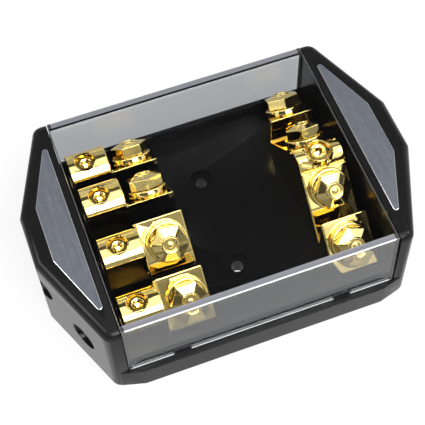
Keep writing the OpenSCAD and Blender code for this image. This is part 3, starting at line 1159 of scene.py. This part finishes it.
class BLOCK_OT_clamp_screws(bpy.types.Operator):
    """Turn the clamp screws into the terminals"""

    bl_idname = "block.clamp_screws"
    bl_label = "Clamp Screws"

    def execute(self, context):
        sizes = context.scene.block_fasteners
        sockets = {f"clamp_screw_{row}": sizes.socket for row in ROWS}
        sockets["input_clamp_screw"] = sizes.input_socket
        for node, socket in sockets.items():
            low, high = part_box(node)
            mesh = screw_mesh((high.x - low.x) / 2, high.z - low.z, socket, sizes.pitch)
            pattern = link_mesh("screw_pattern", mesh, [gold_plating()])
            top = Vector(((low.x + high.x) / 2, (low.y + high.y) / 2, high.z))
            made = set_fitting(f"{node}_turned", pattern, top, (0.0, 0.0, 0.0), FACET)
            stand_in(made, node)
            bpy.data.objects.remove(pattern)
        return {"FINISHED"}


class BLOCK_OT_fixings(bpy.types.Operator):
    """Dress the holding screws under the case"""

    bl_idname = "block.fixings"
    bl_label = "Holding Screws"

    def execute(self, context):
        sizes = context.scene.block_fasteners
        nodes = [f"terminal_fixing_{row}" for row in ROWS] + ["bus_fixing_1", "bus_fixing_2"]
        for node in nodes:
            made = dressed_copy(node, f"{node}_screw", [plated_steel()], sizes.fixing_edge)
            stand_in(made, node)
        return {"FINISHED"}


def add_lamp(name, place, size, power):
    """A square lamp that faces the middle of the block."""
    data = bpy.data.lights.new(name, "AREA")
    data.shape = "SQUARE"
    data.size = size
    data.energy = power
    lamp = bpy.data.objects.new(name, data)
    lamp.location = place
    aim = Vector((0.0, 0.0, 0.02)) - Vector(place)
    lamp.rotation_euler = aim.to_track_quat("-Z", "Y").to_euler()
    bpy.context.scene.collection.objects.link(lamp)


def studio_world(scene, sizes):
    """White to the camera, a plain glow to dull surfaces and a studio to polished ones.

    The studio's softboxes and cards are laid out by lean, the angle in degrees from straight up
    towards the front, and by how far the direction points across to the right or up.
    """
    world = bpy.data.worlds.new("studio")
    scene.world = world
    world.use_nodes = True
    graph = Graph(world.node_tree)
    away = graph.node("ShaderNodeTexCoord").outputs["Generated"]
    split = graph.node("ShaderNodeSeparateXYZ", {0: away})
    across, north, up = [Num(graph, split.outputs[k]) for k in range(3)]
    lean = (north * -1.0).maths("ARCTAN2", up) * math.degrees(1)

    overhead = graph.band(lean, (-23.0, -20.0), (34.0, 42.0))
    overhead = overhead * graph.band(across, (-0.62, -0.5), (0.55, 0.68))
    rear = graph.band(lean, (-110.0, -92.0), (-44.0, -39.0))
    rear = rear * (1 + 1.1 * (1 - graph.step(lean, -85.0, -55.0)))
    front = graph.band(lean, (46.0, 58.0), (74.0, 92.0))
    front_box = graph.band(lean, (44.0, 50.0), (60.0, 76.0))
    front_box = front_box * graph.band(across, (0.16, 0.26), (0.5, 0.6))
    sides = graph.step(across, 0.72, 0.8) + (1 - graph.step(across, -0.84, -0.76))
    sides = sides * graph.band(up, (0.0, 0.08), (0.5, 0.6))
    mirror = (
        sizes.ceiling
        + overhead * sizes.softbox
        + rear * sizes.rear_card
        + front * sizes.front_card
        + front_box * sizes.front_box
        + sides * sizes.side_card
    )

    rays = graph.node("ShaderNodeLightPath")
    path = {socket.name: Num(graph, socket) for socket in rays.outputs}
    covered = graph.step(path["Transmission Depth"], 2.0, 3.0)
    mirror = mirror * (sizes.bare + (1 - sizes.bare) * covered)
    dull = path["Diffuse Depth"].maths("GREATER_THAN", 0.5)
    shiny = path["Glossy Depth"].maths("GREATER_THAN", 0.5)
    seen = path["Is Camera Ray"].maths("MAXIMUM", path["Is Transmission Ray"]) * (1 - shiny)
    other = (1 - shiny) * (1 - seen) * sizes.glow
    lit = dull * sizes.glow + (1 - dull) * (shiny * mirror + seen + other)
    light = graph.node("ShaderNodeBackground", {"Color": WHITE, "Strength": lit})
    graph.node("ShaderNodeOutputWorld", {"Surface": light.outputs[0]})


class BLOCK_OT_stage(bpy.types.Operator):
    """Lay the floor, hang the lamps and place the camera"""

    bl_idname = "block.stage"
    bl_label = "Stage"

    def execute(self, context):
        sizes = context.scene.block_stage
        scene = context.scene
        reach = sizes.floor
        mesh = bpy.data.meshes.new("floor")
        corners = [(-reach, -reach, 0), (reach, -reach, 0), (reach, reach, 0), (-reach, reach, 0)]
        mesh.from_pydata(corners, [], [(0, 1, 2, 3)])
        floor = link_mesh("floor", mesh, [pale_floor()])
        floor.location.z = -0.1 * MM
        studio_world(scene, sizes)
        add_lamp("key_lamp", (0.08, -0.42, 0.62), 0.4, sizes.key)
        add_lamp("fill_lamp", (-0.6, 0.22, 0.64), 0.3, sizes.fill)
        add_lamp("side_lamp", (0.6, -0.2, 0.64), 0.3, sizes.fill)
        data = bpy.data.cameras.new("camera")
        data.lens = sizes.lens
        data.sensor_width = 36.0
        data.clip_start = 0.01
        data.clip_end = 50.0
        camera = bpy.data.objects.new("camera", data)
        camera.location = sizes.eye
        camera.rotation_euler = Euler(sizes.turn, "XYZ")
        scene.collection.objects.link(camera)
        scene.camera = camera
        scene.view_settings.view_transform = "Standard"
        return {"FINISHED"}


class BLOCK_PT_panel(bpy.types.Panel):
    """The block's pieces and settings"""

    bl_label = "Power Block"
    bl_idname = "BLOCK_PT_panel"
    bl_space_type = "VIEW_3D"
    bl_region_type = "UI"
    bl_category = "Power Block"

    def draw(self, context):
        layout = self.layout
        for operator in OPERATORS:
            layout.operator(operator.bl_idname)
        for label in SETTINGS:
            group = getattr(context.scene, label)
            box = layout.box()
            box.label(text=label.replace("block_", "").title())
            for field in group.__annotations__:
                box.prop(group, field)


OPERATORS = (
    BLOCK_OT_case,
    BLOCK_OT_cover,
    BLOCK_OT_trims,
    BLOCK_OT_terminals,
    BLOCK_OT_bus_bar,
    BLOCK_OT_washers,
    BLOCK_OT_bolts,
    BLOCK_OT_clamp_screws,
    BLOCK_OT_fixings,
    BLOCK_OT_stage,
)
SETTINGS = {
    "block_case": BlockCaseSettings,
    "block_cover": BlockCoverSettings,
    "block_metal": BlockMetalSettings,
    "block_fasteners": BlockFastenerSettings,
    "block_stage": BlockStageSettings,
}


def register():
    for label, group in SETTINGS.items():
        bpy.utils.register_class(group)
        setattr(bpy.types.Scene, label, PointerProperty(type=group))
    for kind in (*OPERATORS, BLOCK_PT_panel):
        bpy.utils.register_class(kind)


def unregister():
    for kind in (BLOCK_PT_panel, *reversed(OPERATORS)):
        bpy.utils.unregister_class(kind)
    for label, group in reversed(SETTINGS.items()):
        delattr(bpy.types.Scene, label)
        bpy.utils.unregister_class(group)


def main():
    for other in [o for o in bpy.data.objects if o.type in ("CAMERA", "LIGHT")]:
        bpy.data.objects.remove(other)
    register()
    for operator in OPERATORS:
        group, name = operator.bl_idname.split(".")
        getattr(getattr(bpy.ops, group), name)()


if __name__ == "__main__":
    main()
